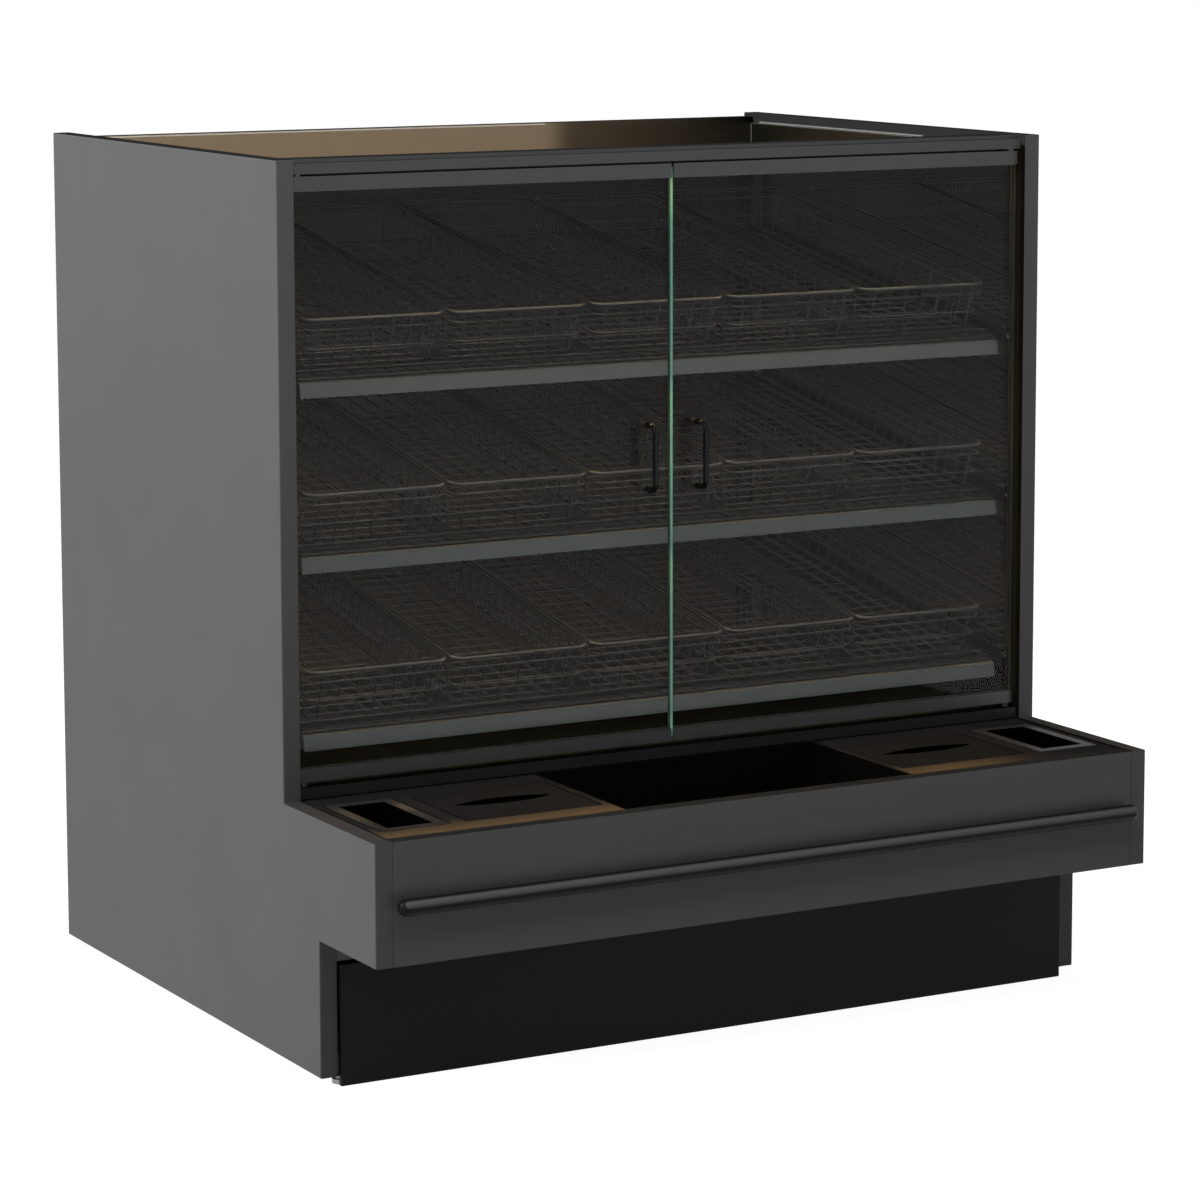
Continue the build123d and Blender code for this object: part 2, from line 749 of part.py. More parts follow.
# Lamp switch sunk in the rear panel, with a rocker on its own pin
plate_half_x = switch_plate[0] / 2
plate_half_z = switch_plate[1] / 2
mouth_half_x = switch_mouth[0] / 2
mouth_half_z = switch_mouth[1] / 2
plate_back_y = switch_face_y - switch_plate_t
with BuildPart() as light_switch_housing:
    block(switch_x - plate_half_x, switch_x + plate_half_x, plate_back_y, switch_face_y,
          switch_z - plate_half_z, switch_z + plate_half_z)
    block(switch_x - switch_body[0] / 2, switch_x + switch_body[0] / 2,
          plate_back_y - switch_body_depth, plate_back_y,
          switch_z - switch_body[1] / 2, switch_z + switch_body[1] / 2)
    block(switch_x - mouth_half_x, switch_x + mouth_half_x, switch_face_y - switch_cavity, switch_face_y,
          switch_z - mouth_half_z, switch_z + mouth_half_z, Mode.SUBTRACT)
    with BuildSketch(Plane.YZ.offset(switch_x - switch_body[0] / 2)):
        with Locations((rocker_y, switch_z)):
            Circle(rocker_pin_r + pivot_fit)
    extrude(amount=switch_body[0], mode=Mode.SUBTRACT)
save(light_switch_housing.part, "light_switch_housing")

with BuildPart() as light_switch_rocker:
    rocker_width, rocker_depth, rocker_length = rocker_size
    with BuildSketch(Plane.YZ.offset(switch_x - rocker_width / 2)):
        with Locations((rocker_y, switch_z)):
            Rectangle(rocker_depth, rocker_length, rotation=rocker_tilt)
    extrude(amount=rocker_width)
    with BuildSketch(Plane.YZ.offset(switch_x - rocker_pin_reach)):
        with Locations((rocker_y, switch_z)):
            Circle(rocker_pin_r)
    extrude(amount=2 * rocker_pin_reach)
save(light_switch_rocker.part, "light_switch_rocker")

# Frameless doors: glass, clamping rails with pivot holes, and a wire pull with its screws
pull_zs = (pull_z - pull_centres / 2, pull_z + pull_centres / 2)
channel_half = glass_t / 2 + rail_fit
bottom_rail_top = door_bottom + bottom_rail_h
top_rail_bottom = door_top - top_rail_h
rail_cuts = (
    (door_bottom, bottom_rail_top, glass_bottom, bottom_rail_top, door_bottom),
    (top_rail_bottom, door_top, top_rail_bottom, glass_top, glass_top),
)
for name, side in sides:
    with BuildPart() as door_glass:
        x0, x1 = sorted((side * door_inner_x, side * door_outer_x))
        block(x0, x1, glass_front_y, glass_back_y, glass_bottom, glass_top)
        for z in pull_zs:
            along_y(side * pull_x, glass_front_y, z, glass_hole_r, glass_t, Mode.SUBTRACT)
    save(door_glass.part, f"{name}_door_glass")

    with BuildPart() as door_rails:
        for z0, z1, groove_z0, groove_z1, hole_z in rail_cuts:
            block(x0, x1, header_y, header_y + rail_depth, z0, z1)
            block(x0, x1, pivot_y - channel_half, pivot_y + channel_half,
                  groove_z0, groove_z1, Mode.SUBTRACT)
            upright(side * pivot_x, pivot_y, hole_z, pivot_hole_r, rail_web, Mode.SUBTRACT)
    save(door_rails.part, f"{name}_door_rails")

    bar_y = glass_front_y - pull_reach + pull_wire_r
    with BuildPart() as door_pull:
        with BuildLine(Plane.YZ.offset(side * pull_x)) as pull_path:
            FilletPolyline((glass_front_y, pull_zs[0]), (bar_y, pull_zs[0]),
                           (bar_y, pull_zs[1]), (glass_front_y, pull_zs[1]), radius=pull_bend_r)
        with BuildSketch(Plane(origin=(side * pull_x, glass_front_y, pull_zs[0]), z_dir=(0, -1, 0))):
            Circle(pull_wire_r)
        sweep()
        for z in pull_zs:
            along_y(side * pull_x, glass_front_y - screw_grip, z, screw_r + hole_fit,
                    screw_grip, Mode.SUBTRACT)
    with BuildPart() as pull_screws:
        for z in pull_zs:
            along_y(side * pull_x, glass_front_y - screw_grip, z, screw_r, screw_grip + glass_t)
            along_y(side * pull_x, glass_back_y, z, screw_head_r, screw_head_h)
    save(Compound(children=[door_pull.part, pull_screws.part]), f"{name}_door_pull")

# Door pivots: a pin and a thrust washer above and below each door
with BuildPart() as door_pivots:
    for name, side in sides:
        upright(side * pivot_x, pivot_y, sill_top - pivot_root, pivot_r,
                door_bottom + pivot_grip - sill_top + pivot_root)
        upright(side * pivot_x, pivot_y, sill_top, washer_r, door_bottom - sill_top)
        upright(side * pivot_x, pivot_y, door_top - pivot_grip, pivot_r,
                header_bottom + pivot_root - door_top + pivot_grip)
        upright(side * pivot_x, pivot_y, door_top, washer_r, header_bottom - door_top)
save(door_pivots.part, "door_pivots")

# Wire basket in its own frame: front bottom edge on X, length along Y, open at the top
slant = basket_draft / basket_height
half_top = basket_width / 2
half_bottom = half_top - basket_draft
top_length = basket_length
bottom_length = basket_length - 2 * basket_draft
wall_normal = 1 / sqrt(1 + slant ** 2)


def leaning_plane(point, across, outward):
    """Plane of a wall: X along the wall, Y up its slope, Z out of the basket."""
    z_dir = Vector(*outward) * wall_normal + Vector(0, 0, -slant * wall_normal)
    return Plane(origin=point, x_dir=across, z_dir=z_dir)


front_plane = leaning_plane((0, basket_draft, 0), (1, 0, 0), (0, -1, 0))
back_plane = leaning_plane((0, basket_length - basket_draft, 0), (-1, 0, 0), (0, 1, 0))
left_plane = leaning_plane((-half_bottom, basket_length / 2, 0), (0, -1, 0), (-1, 0, 0))
right_plane = leaning_plane((half_bottom, basket_length / 2, 0), (0, 1, 0), (1, 0, 0))
floor_plane = Plane(origin=(0, basket_length / 2, 0))


def frustum():
    """Outer shape of the basket as one tapered solid."""
    with BuildSketch(Plane(origin=(0, basket_length / 2, 0))) as base:
        Rectangle(2 * half_bottom, bottom_length)
    with BuildSketch(Plane(origin=(0, basket_length / 2, basket_height))) as rim:
        Rectangle(2 * half_top, top_length)
    loft([base.sketch.face(), rim.sketch.face()], ruled=True)


def net_holes(plane, width, height, columns, rows, thickness):
    """Grid of rectangular gaps through a wall, between its border wires."""
    pitch_x = (width - 2 * net_border + net_wire) / columns
    pitch_y = (height - net_border - net_rim + net_wire) / rows
    with BuildSketch(plane) as gaps:
        with Locations((0, net_border + (rows * pitch_y - net_wire) / 2)):
            with GridLocations(pitch_x, pitch_y, columns, rows):
                Rectangle(pitch_x - net_wire, pitch_y - net_wire)
    extrude(gaps.sketch, amount=-thickness, mode=Mode.SUBTRACT)


slant_height = basket_height / wall_normal
with BuildPart() as net_floor:
    frustum()
    split(bisect_by=floor_plane.offset(net_t), keep=Keep.BOTTOM)
    floor_pitch_x = (2 * half_bottom - 2 * net_border + net_wire) / net_floor_columns
    floor_pitch_y = (bottom_length - 2 * net_border + net_wire) / net_side_columns
    with BuildSketch(floor_plane):
        with GridLocations(floor_pitch_x, floor_pitch_y, net_floor_columns, net_side_columns):
            Rectangle(floor_pitch_x - net_wire, floor_pitch_y - net_wire)
    extrude(amount=net_t, mode=Mode.SUBTRACT)

basket_nets = [net_floor.part]
for wall_plane in (front_plane, back_plane):
    with BuildPart() as end_net:
        frustum()
        split(bisect_by=floor_plane.offset(net_t), keep=Keep.TOP)
        split(bisect_by=wall_plane.offset(-net_t), keep=Keep.TOP)
        net_holes(wall_plane, 2 * half_bottom, slant_height, net_end_columns, net_rows, net_reach)
    basket_nets.append(end_net.part)
for wall_plane in (left_plane, right_plane):
    with BuildPart() as side_net:
        frustum()
        split(bisect_by=floor_plane.offset(net_t), keep=Keep.TOP)
        split(bisect_by=front_plane.offset(-net_t), keep=Keep.BOTTOM)
        split(bisect_by=back_plane.offset(-net_t), keep=Keep.BOTTOM)
        split(bisect_by=wall_plane.offset(-net_t), keep=Keep.TOP)
        net_holes(wall_plane, bottom_length, slant_height, net_side_columns, net_rows, net_reach)
    basket_nets.append(side_net.part)

# Baskets in a row on each rack
for key, top in shelf_strip_tops.items():
    for index in range(basket_count):
        basket_x = (index - (basket_count - 1) / 2) * basket_pitch
        seat = shelf_plane(top).location * Location((basket_x, basket_front_gap, rack_t + basket_lift_gap))
        basket = Compound(children=[net.moved(seat) for net in basket_nets])
        save(basket, f"basket_{key}_{index + 1}")
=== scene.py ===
from math import cos, pi, radians, sin, sqrt

import bmesh
import bpy
from mathutils import Matrix, Vector


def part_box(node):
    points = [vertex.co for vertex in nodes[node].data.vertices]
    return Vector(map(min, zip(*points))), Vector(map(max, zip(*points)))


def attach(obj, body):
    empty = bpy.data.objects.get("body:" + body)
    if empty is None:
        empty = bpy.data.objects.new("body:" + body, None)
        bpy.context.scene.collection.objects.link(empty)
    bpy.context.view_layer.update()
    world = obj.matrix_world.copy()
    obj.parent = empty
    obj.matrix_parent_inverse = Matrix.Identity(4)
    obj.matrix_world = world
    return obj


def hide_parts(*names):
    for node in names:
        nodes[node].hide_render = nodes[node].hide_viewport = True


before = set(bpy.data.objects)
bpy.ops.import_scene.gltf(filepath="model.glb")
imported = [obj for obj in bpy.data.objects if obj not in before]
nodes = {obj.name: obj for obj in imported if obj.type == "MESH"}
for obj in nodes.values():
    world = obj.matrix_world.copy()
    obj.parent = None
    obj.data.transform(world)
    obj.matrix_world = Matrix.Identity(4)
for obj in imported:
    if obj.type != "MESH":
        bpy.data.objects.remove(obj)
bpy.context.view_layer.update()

# Camera: a long lens in front of the left end panel, a little above the case.
# Its place, lens and framing were solved from the case's own square corners.
camera_place = Vector((-2.8158, -5.1058, 1.5313))
camera_heading = radians(-28.974)
camera_tilt = radians(7.482)
camera_roll = radians(-0.122)
focal_px = 4116.5
frame_px = 1200
axis_px = 450
sensor_mm = 36

camera_data = bpy.data.cameras.new("camera")
camera_data.sensor_width = sensor_mm
camera_data.lens = focal_px / frame_px * sensor_mm
camera_data.shift_y = (axis_px - frame_px / 2) / frame_px
camera = bpy.data.objects.new("camera", camera_data)
bpy.context.scene.collection.objects.link(camera)
camera.matrix_world = (
    Matrix.Translation(camera_place)
    @ Matrix.Rotation(camera_heading, 4, "Z")
    @ Matrix.Rotation(radians(90) - camera_tilt, 4, "X")
    @ Matrix.Rotation(camera_roll, 4, "Z")
)
bpy.context.scene.camera = camera
bpy.context.scene.view_settings.view_transform = "Standard"

# Studio: a white sweep, a broad soft box on the left, one high in front and a weak one above.
# The sweep keeps the case's shadow and has no glow in the closed space under its base.
floor_size = 60
floor_grey = 0.3
floor_glow = 0.96
world_light = 0.14
unlit_x = 0.555
unlit_front = -0.34
unlit_rear = 0.5


class Field:
    """A shader socket whose arithmetic adds Math nodes to its finish."""

    def __init__(self, finish, socket):
        self.finish = finish
        self.socket = socket

    def join(self, operation, first, second):
        return self.finish.node("ShaderNodeMath", {"operation": operation}, {0: first, 1: second})

    def __add__(self, other):
        return self.join("ADD", self, other)

    def __radd__(self, other):
        return self.join("ADD", other, self)

    def __sub__(self, other):
        return self.join("SUBTRACT", self, other)

    def __rsub__(self, other):
        return self.join("SUBTRACT", other, self)

    def __mul__(self, other):
        return self.join("MULTIPLY", self, other)

    def __rmul__(self, other):
        return self.join("MULTIPLY", other, self)

    def __gt__(self, other):
        return self.join("GREATER_THAN", self, other)

    def __lt__(self, other):
        return self.join("LESS_THAN", self, other)


class Shading:
    """The nodes of one tree, with the patterns that the finishes share."""

    def __init__(self, tree):
        self.tree = tree

    def node(self, kind, settings=None, inputs=None, output=0):
        """Add any node: first its settings, then the values and links of its sockets."""
        made = self.tree.nodes.new(kind)
        for key, value in (settings or {}).items():
            setattr(made, key, value)
        for key, value in (inputs or {}).items():
            if isinstance(value, Field):
                self.tree.links.new(value.socket, made.inputs[key])
            elif isinstance(value, tuple) and len(value) == 3 and made.inputs[key].type == "RGBA":
                made.inputs[key].default_value = (*value, 1)
            else:
                made.inputs[key].default_value = value
        return Field(self, made.outputs[output])

    def place(self):
        """Object coordinates, in metres."""
        return self.node("ShaderNodeTexCoord", output=3)

    def along(self, axis):
        """One of the object coordinates, 0 for X to 2 for Z."""
        return self.node("ShaderNodeSeparateXYZ", None, {0: self.place()}, output=axis)

    def facing(self, axis):
        """How far a surface's normal points along X, Y or Z."""
        normal = self.node("ShaderNodeTexCoord", output=1)
        return self.node("ShaderNodeSeparateXYZ", None, {0: normal}, output=axis)

    def blend(self, value, start, end, first=0.0, last=1.0):
        """A smooth passage from one value to another while a field goes from start to end."""
        return self.node("ShaderNodeMapRange", {"interpolation_type": "SMOOTHSTEP"}, {
            "Value": value, "From Min": start, "From Max": end, "To Min": first, "To Max": last})

    def noise(self, scale, detail=2.0, stretch=(1, 1, 1)):
        """Noise in object space with features about 1 / scale metres across."""
        spread = self.node("ShaderNodeMapping", None, {"Vector": self.place(), "Scale": stretch})
        return self.node("ShaderNodeTexNoise", None, {
            "Vector": spread, "Scale": scale, "Detail": detail})

    def mix(self, factor, first, second):
        """One colour into another by a factor."""
        return self.node("ShaderNodeMix", {"data_type": "RGBA"}, {
            0: factor, 6: first, 7: second}, output=2)


class Finish(Shading):
    """A material with one Principled shader, whose even values are set on its own sockets."""

    def __init__(self, name, **even):
        self.material = bpy.data.materials.new(name)
        self.material.use_nodes = True
        super().__init__(self.material.node_tree)
        self.shader = self.tree.nodes["Principled BSDF"]
        self.output = self.tree.nodes["Material Output"]
        for key, value in even.items():
            self.set(key.replace("_", " "), value)

    def set(self, name, value):
        """Put a value or a field on one of the shader's sockets."""
        socket = self.shader.inputs[name]
        if isinstance(value, Field):
            self.tree.links.new(value.socket, socket)
        else:
            socket.default_value = (*value, 1) if isinstance(value, tuple) and len(value) == 3 else value

    def shade(self):
        """The colour field that feeds the shader so far."""
        return Field(self, self.shader.inputs["Base Color"].links[0].from_socket)

    def bump(self, height, strength, distance):
        """Relief from a height field."""
        self.set("Normal", self.node("ShaderNodeBump", None, {
            "Height": height, "Strength": strength, "Distance": distance}))

    def cover(self, factor, shade, roughness=0.9, gloss=0.0):
        """Cover a part of the surface with a second shader: a coat, a joint or painted shade."""
        coat = self.node("ShaderNodeBsdfPrincipled", None, {
            "Base Color": shade, "Roughness": roughness, "Specular IOR Level": gloss})
        under = Field(self, self.output.inputs[0].links[0].from_socket)
        both = self.node("ShaderNodeMixShader", None, {0: factor, 1: under, 2: coat})
        self.tree.links.new(both.socket, self.output.inputs[0])


def seen_ray(finish):
    """One for camera, glossy and transmitted rays that have left no matt surface yet."""
    sockets = finish.node("ShaderNodeLightPath").socket.node.outputs
    seen = Field(finish, sockets["Is Camera Ray"]) + Field(finish, sockets["Is Glossy Ray"])
    seen = seen + Field(finish, sockets["Is Transmission Ray"])
    return (seen > 0.5) * (Field(finish, sockets["Diffuse Depth"]) < 0.5)


floor_mesh = bpy.data.meshes.new("studio_floor")
work = bmesh.new()
bmesh.ops.create_grid(work, x_segments=1, y_segments=1, size=floor_size / 2)
work.to_mesh(floor_mesh)
work.free()
floor = bpy.data.objects.new("studio_floor", floor_mesh)
bpy.context.scene.collection.objects.link(floor)
sweep = Finish("sweep", Base_Color=(floor_grey,) * 3, Roughness=0.9, Specular_IOR_Level=0.0)
sweep_x = sweep.along(0)
sweep_y = sweep.along(1)
unlit = (sweep_x * sweep_x < unlit_x ** 2) * (sweep_y > unlit_front) * (sweep_y < unlit_rear)
sweep_glow = seen_ray(sweep) * (1 - unlit) * floor_glow
sweep.set("Emission Color", sweep.mix(sweep_glow, (0.0, 0.0, 0.0), (1.0, 1.0, 1.0)))
sweep.set("Emission Strength", 1.0)
floor_mesh.materials.append(sweep.material)

world = bpy.data.worlds.new("studio_world")
world.use_nodes = True
bpy.context.scene.world = world
backdrop = Shading(world.node_tree)
backdrop_level = seen_ray(backdrop) * (1 - world_light) + world_light
background = world.node_tree.nodes["Background"]
background.inputs["Color"].default_value = (1, 1, 1, 1)
world.node_tree.links.new(backdrop_level.socket, background.inputs["Strength"])


def soft_box(name, place, target, width, height, power):
    """Rectangular area lamp aimed at a point."""
    lamp = bpy.data.lights.new(name, "AREA")
    lamp.shape = "RECTANGLE"
    lamp.size = width
    lamp.size_y = height
    lamp.energy = power
    made = bpy.data.objects.new(name, lamp)
    aim = (Vector(target) - Vector(place)).to_track_quat("-Z", "Y").to_matrix().to_4x4()
    made.matrix_world = Matrix.Translation(place) @ aim
    bpy.context.scene.collection.objects.link(made)


soft_box("left_soft_box", (-4.0, 0.2, 3.0), (0, 0, 0.9), 2.6, 2.6, 160)
soft_box("front_soft_box", (-0.3, -1.7, 3.0), (0, -0.24, 1.0), 2.2, 1.2, 36)
soft_box("top_soft_box", (-0.6, 1.4, 3.6), (0, 0, 0.6), 2.0, 2.0, 22)

# End panels: 25 mm particle board in dark grey laminate, cut in one stepped piece each, painted darker
# towards the floor as painted shade, with upward faces and inner faces painted dark as painted shade
# and a fine arris where faces meet.
laminate_grey = (0.088, 0.088, 0.09)
board_arris = 0.0006
arris_angle = 40
weld_gap = 0.00001
upright = 0.7
skin = 0.0005


def toned(shade, factor):
    """A colour made lighter or darker."""
    return tuple(channel * factor for channel in shade)


def laminate(name, shade, roughness, relief=0.25, gloss=0.2):
    """Pressed laminate: a fine pebble, a faint drift of tone and of gloss."""
    finish = Finish(name, Specular_IOR_Level=gloss)
    drift = finish.noise(3.0, 2.0)
    pebble = finish.noise(1400.0, 2.0)
    tone = drift * 0.6 + pebble * 0.4
    finish.set("Base Color", finish.mix(tone, toned(shade, 0.93), toned(shade, 1.07)))
    finish.set("Roughness", roughness - 0.05 + finish.noise(9.0, 3.0) * 0.1)
    finish.bump(pebble, relief, 0.0003)
    return finish


def dress(finish, *names):
    """Give CAD nodes a finish."""
    for name in names:
        for held in nodes[name].material_slots:
            held.material = finish.material


def ease(width, *names):
    """Round the arrises of CAD nodes by modifiers, with two faces to each."""
    for name in names:
        weld = nodes[name].modifiers.new("weld", "WELD")
        weld.merge_threshold = weld_gap
        arris = nodes[name].modifiers.new("arris", "BEVEL")
        arris.width = width
        arris.segments = 2
        arris.limit_method = "ANGLE"
        arris.angle_limit = radians(arris_angle)
        arris.harden_normals = False


def mottled(finish, shade, spread=1.4):
    """A colour that drifts a little lighter."""
    return finish.mix(finish.noise(50.0), shade, toned(shade, spread))


def paint_top_shade(finish, shade=(0.018, 0.018, 0.018)):
    """Upward faces painted matt black as painted shade."""
    finish.cover(finish.facing(2) > upright, mottled(finish, shade))


end_laminate = laminate("end_laminate", laminate_grey, 0.42)
inner_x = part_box("right_end_panel")[0].x
joint_and_shade_black = (0.001, 0.001, 0.001)
inner_painted_shade = (0.014, 0.011, 0.008)
inner_front_painted_shade = (0.005, 0.004, 0.003)
front_shade_y = -0.23
inner_top_painted_shade = (0.034, 0.034, 0.035)
side_trim_pale = (0.24, 0.25, 0.25)
side_trim_low = 1.1949
side_trim_high = 1.1973
side_trim_front = 0.025
side_trim_rear = 0.494
low_edge_z = 0.5
low_top_painted_shade = (0.031, 0.031, 0.031)
joint_reach = 0.0025
shade_fade_foot = 0.05
shade_fade_top = 1.2
face_x = end_laminate.along(0)
face_y = end_laminate.along(1)
face_z = end_laminate.along(2)
# Painted shade: the laminate is darker towards the floor and lighter towards the top.
painted_shade_tone = end_laminate.mix(end_laminate.noise(3.0), (0.068, 0.068, 0.07), (0.076, 0.076, 0.078))
painted_lit_tone = end_laminate.mix(end_laminate.noise(3.0), (0.092, 0.092, 0.094), (0.102, 0.102, 0.104))
rise = end_laminate.blend(face_z, shade_fade_foot, shade_fade_top)
end_laminate.set("Base Color", end_laminate.mix(rise, painted_shade_tone, painted_lit_tone))
inner_side = (face_x * face_x) < (inner_x + skin) ** 2
inner_front = inner_side * (face_y < front_shade_y)
inner_top = inner_side * (face_z > side_trim_low)
side_trim = inner_top * (face_z < side_trim_high) * (face_y > side_trim_front) * (face_y < side_trim_rear)
# Painted shade: the inner faces are dark, darkest in front of the doors, with a shaded grey above the pale
# trim.
end_laminate.cover(inner_side, mottled(end_laminate, inner_painted_shade, 1.2), 0.5, 0.04)
end_laminate.cover(inner_front, mottled(end_laminate, inner_front_painted_shade, 1.2), 0.5, 0.02)
end_laminate.cover(inner_top, mottled(end_laminate, inner_top_painted_shade, 1.1), 0.5)
end_laminate.cover(side_trim, mottled(end_laminate, side_trim_pale, 1.1))
# Painted shade: upward faces are matt black, a lighter grey low on the ledge.
paint_top_shade(end_laminate)
low_edge = (end_laminate.facing(2) > upright) * (face_z < low_edge_z)
end_laminate.cover(low_edge, mottled(end_laminate, low_top_painted_shade))
deck_joint = low_edge * (face_x > 0) * (face_x < inner_x + joint_reach)
end_laminate.cover(deck_joint, joint_and_shade_black)
dress(end_laminate, "left_end_panel", "right_end_panel")
ease(board_arris, "left_end_panel", "right_end_panel")

# Rear panel: 28 mm board between the end panels, screwed to the top pan's batten and the display
# floor. It is grey outside and dark in the display, painted lighter near the top as painted light from
# the header's lamp, and its upward faces are painted black as painted shade. Above the pan its inner
# face is bronze sheet with a painted reflection that darkens it to the right, and a thin painted
# highlight line near the top of its left part.
bronze = (0.385, 0.315, 0.225)
bronze_painted_shade = (0.13, 0.103, 0.073)
bronze_painted_dark = (0.02, 0.019, 0.015)
bronze_turn = 0.20
bronze_fade = 0.55
bronze_turn_width = 0.05
highlight_line_bright = (0.85, 0.83, 0.79)
highlight_line_low = 1.2014
highlight_line_high = 1.2034
display_back = (0.022, 0.020, 0.016)
display_back_painted_light = (0.042, 0.036, 0.029)
painted_light_low = 0.95
painted_light_high = 1.15
rear_inner_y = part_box("rear_panel")[0].y
pan_sheet_z = 1.163

rear_finish = laminate("rear_laminate", laminate_grey, 0.45)
inside = rear_finish.along(1) < rear_inner_y + skin
height = rear_finish.along(2)
across = rear_finish.along(0)
above = height > pan_sheet_z
# Painted reflection: the bronze sheet darkens to the right.
fade = rear_finish.node("ShaderNodeMapRange", None, {
    "Value": across, "From Min": bronze_turn, "From Max": bronze_fade, "To Min": 0.0, "To Max": 1.0})
right_shade = rear_finish.mix(fade, bronze_painted_shade, bronze_painted_dark)
turn = rear_finish.blend(across, bronze_turn - 0.01, bronze_turn + bronze_turn_width)
sheet_shade = rear_finish.mix(turn, bronze, right_shade)
# Painted highlight: a thin bright line near the top of the sheet's lit left part.
highlight_line = (height > highlight_line_low) * (height < highlight_line_high) * (across < bronze_turn)
sheet_shade = rear_finish.mix(highlight_line, sheet_shade, highlight_line_bright)
# Painted light: the display's back wall is lighter towards the top, under the header's lamp.
painted_light_rise = rear_finish.blend(height, painted_light_low, painted_light_high)
back_shade = rear_finish.mix(painted_light_rise, display_back, display_back_painted_light)
inner_shade = rear_finish.mix(above, back_shade, sheet_shade)
rear_finish.set("Base Color", rear_finish.mix(inside, rear_finish.shade(), inner_shade))
rear_finish.set("Metallic", inside * above)
rear_finish.set("Roughness", 0.45 - inside * above * 0.25)
paint_top_shade(rear_finish)
dress(rear_finish, "rear_panel")

# Top pan: folded sheet that closes the display above and is the bottom of the open recess,
# brown on its upper side and black below. The rear panel's screws hold the batten under it.
pan_black = (0.012, 0.012, 0.013)
pan_brown = (0.24, 0.18, 0.12)
pan_flange_h = 0.03
pan_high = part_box("top_pan")[1]
pan_finish = laminate("pan_finish", pan_black, 0.35)
pan_flange = (pan_finish.facing(1) > 0.5) * (pan_finish.along(2) > pan_high.z - pan_flange_h)
pan_up = (pan_finish.facing(2) > 0.05) + pan_flange
pan_finish.set("Base Color", pan_finish.mix(pan_up > 0.5, pan_finish.shade(), pan_brown))
dress(pan_finish, "top_pan")

# Header and sill: laminated boards above and below the doors, set in between the end panels.
# Their upward faces are painted black as painted shade, and a dark joint runs where the sill meets the
# deck.
header_finish = laminate("header_laminate", laminate_grey, 0.36)
paint_top_shade(header_finish)
dress(header_finish, "header_rail")
sill_black = (0.016, 0.016, 0.0165)
sill_top_painted_shade = (0.004, 0.004, 0.004)
sill_finish = laminate("sill_laminate", sill_black, 0.34)
paint_top_shade(sill_finish, sill_top_painted_shade)
deck_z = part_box("ledge_deck")[1].z
joint_height = 0.0012
sill_finish.cover(sill_finish.along(2) < deck_z + joint_height, joint_and_shade_black)
dress(sill_finish, "door_sill")
ease(board_arris, "header_rail", "door_sill")

# Mirrors: 4 mm silvered glass sheets glued to the inner faces of the end panels,
# with ground edges that have no silver.
ground_edge = 0.0009
mirror = Finish("mirror_glass", Metallic=1.0, Specular_IOR_Level=0.5)
mirror.set("Base Color", mirror.mix(mirror.noise(2.5), (0.74, 0.76, 0.74), (0.80, 0.81, 0.80)))
mirror.set("Roughness", 0.015 + mirror.noise(7.0, 3.0) * 0.02)
mirror_rear_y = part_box("right_mirror")[1].y
edge_seen = (mirror.facing(2) > 0.5) + (mirror.along(1) > mirror_rear_y - ground_edge) > 0.5
ground_shade = mirror.mix(mirror.noise(90.0), (0.46, 0.44, 0.40), (0.56, 0.54, 0.50))
mirror.cover(edge_seen, ground_shade, 0.3, 0.5)
dress(mirror, "left_mirror", "right_mirror")

# Display floor: an 18 mm board in polished black laminate that lies on the base frame,
# between the sill and the rear panel.
floor_black = (0.0015, 0.002, 0.0022)
floor_finish = laminate("display_floor_black", floor_black, 0.22, 0.06, 0.1)
dress(floor_finish, "display_floor")

# Base: a welded frame of 30 mm square steel tube with a baked coat, and the black laminated
# kick panel on its front, set back under the ledge.


def powder_coat(name, shade, roughness):
    """Baked powder coat: a soft orange peel and a little drift in its gloss."""
    finish = Finish(name, Specular_IOR_Level=0.5)
    peel = finish.noise(520.0, 1.5)
    finish.set("Base Color", finish.mix(finish.noise(30.0, 3.0), toned(shade, 0.8), toned(shade, 1.25)))
    finish.set("Roughness", roughness - 0.05 + finish.noise(40.0, 3.0) * 0.1)
    finish.bump(peel, 0.2, 0.0002)
    return finish


frame_grey = (0.07, 0.07, 0.071)
frame_coat = powder_coat("frame_coat", frame_grey, 0.5)
dress(frame_coat, "base_frame")
kick_painted_shade_left = (0.005, 0.005, 0.0055)
kick_painted_light_right = (0.010, 0.010, 0.0105)
kick_shade_fade = (-0.5, 0.55)
# Painted shade: the kick panel is darker towards the left.
kick_finish = laminate("kick_black", kick_painted_shade_left, 0.45, gloss=0.1)
kick_lit_right_colour = mottled(kick_finish, kick_painted_light_right)
kick_shade_across = kick_finish.blend(kick_finish.along(0), *kick_shade_fade)
kick_finish.set("Base Color", kick_finish.mix(kick_shade_across, kick_finish.shade(), kick_lit_right_colour))
dress(kick_finish, "kick_panel")
ease(board_arris, "kick_panel")

# Ledge: a 22 mm front board in the end panels' grey laminate, its upward faces painted black as painted
# shade, an underside board, and deck boards in matt black laminate, let in between the end panels.
# Black grooves run beside the deck's lids and bins, and a warm painted reflection lies along the
# deck's front edge, fading out towards the right.
ledge_top_painted_shade = (0.014, 0.014, 0.014)
ledge_finish = laminate("ledge_laminate", laminate_grey, 0.42)
